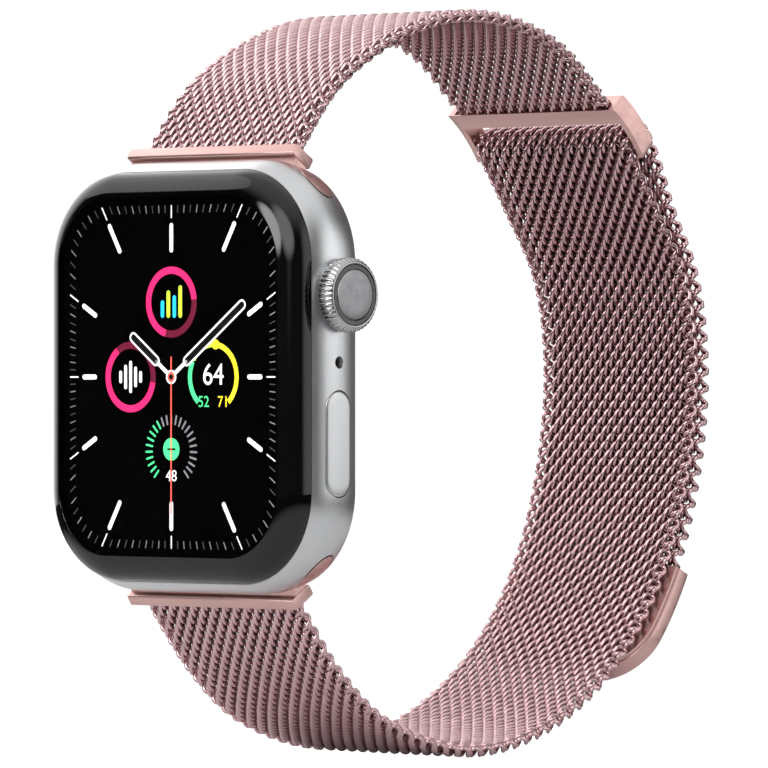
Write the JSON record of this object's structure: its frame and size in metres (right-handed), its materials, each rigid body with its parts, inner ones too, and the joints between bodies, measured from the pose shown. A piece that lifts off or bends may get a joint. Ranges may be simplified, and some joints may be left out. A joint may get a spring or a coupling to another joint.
{
  "type": "smartwatch",
  "caption": "Rectangular smartwatch with curved glass, turning crown and side button, on a woven metal loop band with a clasp ring and magnetic end tab.",
  "frame": {"origin": "centre of the flat at the middle of the back crystal, which rests on the wrist", "axes": "+X towards the crown side of the case, +Y out of the back of the case into the wrist, +Z towards the dial's 12 o'clock"},
  "size_m": [0.0402, 0.0729, 0.0781],
  "materials": {
    "silver_aluminium": "fine bead-blasted satin",
    "black_glass": "polished, over a lit dial",
    "dial_display": "smooth",
    "back_crystal": "polished dark crystal",
    "back_ceramic": "satin ceramic",
    "steel": "machined",
    "crown_ring_grey": "satin",
    "dark_polymer": "fine texture",
    "seal_rubber": "matte",
    "circuit_board": "solder mask",
    "copper": "enamelled wire",
    "battery_foil": "wrapped foil",
    "rose_metal": "satin rose plating",
    "rose_mesh": "bright woven wire, rose plating"
  },
  "bodies": {
    "case": {"case_shell": "silver_aluminium", "front_glass": "black_glass", "glass_gasket": "seal_rubber", "display_panel": "dial_display", "back_cover": "back_ceramic", "back_crystal": "back_crystal", "crystal_bezel": "steel", "sensor_board": "circuit_board", "charging_coil": "copper", "main_board": "circuit_board", "board_screw_1": "steel", "board_screw_2": "steel", "board_screw_3": "steel", "board_screw_4": "steel", "processor_package": "dark_polymer", "battery": "battery_foil", "haptic_housing": "steel", "speaker": "dark_polymer", "microphone": "dark_polymer", "crown_bushing": "steel", "crown_seal": "seal_rubber", "crown_encoder": "dark_polymer", "crown_switch": "dark_polymer", "button_seal_1": "seal_rubber", "button_seal_2": "seal_rubber", "button_switch": "dark_polymer", "button_bracket": "steel"},
    "haptic_mass": {"haptic_mass": "steel"},
    "crown_slider": {"crown_thrust_plate": "steel"},
    "crown": {"crown_knob": "silver_aluminium", "crown_ring": "crown_ring_grey", "crown_cap": "silver_aluminium", "crown_stem": "steel", "crown_encoder_ring": "steel"},
    "side_button": {"side_button": "silver_aluminium", "button_retainer": "steel"},
    "release_upper": {"release_button_upper": "silver_aluminium"},
    "release_lower": {"release_button_lower": "silver_aluminium"},
    "band": {"lug_adapter_upper": "rose_metal", "lug_adapter_lower": "rose_metal", "strap_upper": "rose_mesh", "strap_lower": "rose_mesh", "clasp_ring": "rose_metal"},
    "catch_upper": {"lug_catch_upper": "steel"},
    "catch_lower": {"lug_catch_lower": "steel"},
    "closure": {"strap_return": "rose_mesh", "tab_shell": "rose_metal", "tab_plate": "rose_metal", "tab_magnet_1": "steel", "tab_magnet_2": "steel", "tab_magnet_3": "steel"}
  },
  "joints": [
    {"name": "crown_press", "type": "slide", "parent": "case", "child": "crown_slider", "axis": [-1, 0, 0], "range_m": [0, 0.0003], "stiffness_N_per_m": 4000, "springref_m": -0.0003},
    {"name": "crown_turn", "type": "hinge", "parent": "crown_slider", "child": "crown", "pos_m": [0.0202, -0.005, 0.0082], "axis": [1, 0, 0], "continuous": true},
    {"name": "side_button_press", "type": "slide", "parent": "case", "child": "side_button", "axis": [-1, 0, 0], "range_m": [0, 0.0003], "stiffness_N_per_m": 4000, "springref_m": -0.0003},
    {"name": "release_upper_press", "type": "slide", "parent": "case", "child": "release_upper", "axis": [0, -1, 0], "range_m": [0, 0.0003], "stiffness_N_per_m": 3000, "springref_m": -0.0003},
    {"name": "release_lower_press", "type": "slide", "parent": "case", "child": "release_lower", "axis": [0, -1, 0], "range_m": [0, 0.0003], "stiffness_N_per_m": 3000, "springref_m": -0.0003},
    {"name": "band_slide", "type": "slide", "parent": "case", "child": "band", "axis": [1, 0, 0], "range_m": [-0.036, 0.036]},
    {"name": "catch_upper_retract", "type": "slide", "parent": "band", "child": "catch_upper", "axis": [0, -1, 0], "range_m": [0, 0.0003], "stiffness_N_per_m": 1000, "springref_m": -0.0003},
    {"name": "catch_lower_retract", "type": "slide", "parent": "band", "child": "catch_lower", "axis": [0, -1, 0], "range_m": [0, 0.0003], "stiffness_N_per_m": 1000, "springref_m": -0.0003},
    {"name": "closure_peel", "type": "hinge", "parent": "band", "child": "closure", "pos_m": [0, 0.05211, 0.02676], "axis": [1, 0, 0], "range_deg": [0, 65]},
    {"name": "haptic_tap", "type": "slide", "parent": "case", "child": "haptic_mass", "axis": [1, 0, 0], "range_m": [-0.0008, 0.0008], "stiffness_N_per_m": 600}
  ],
  "couplings": [
    {"joint": "catch_upper_retract", "follows": "release_upper_press", "ratio": 1},
    {"joint": "catch_lower_retract", "follows": "release_lower_press", "ratio": 1}
  ]
}
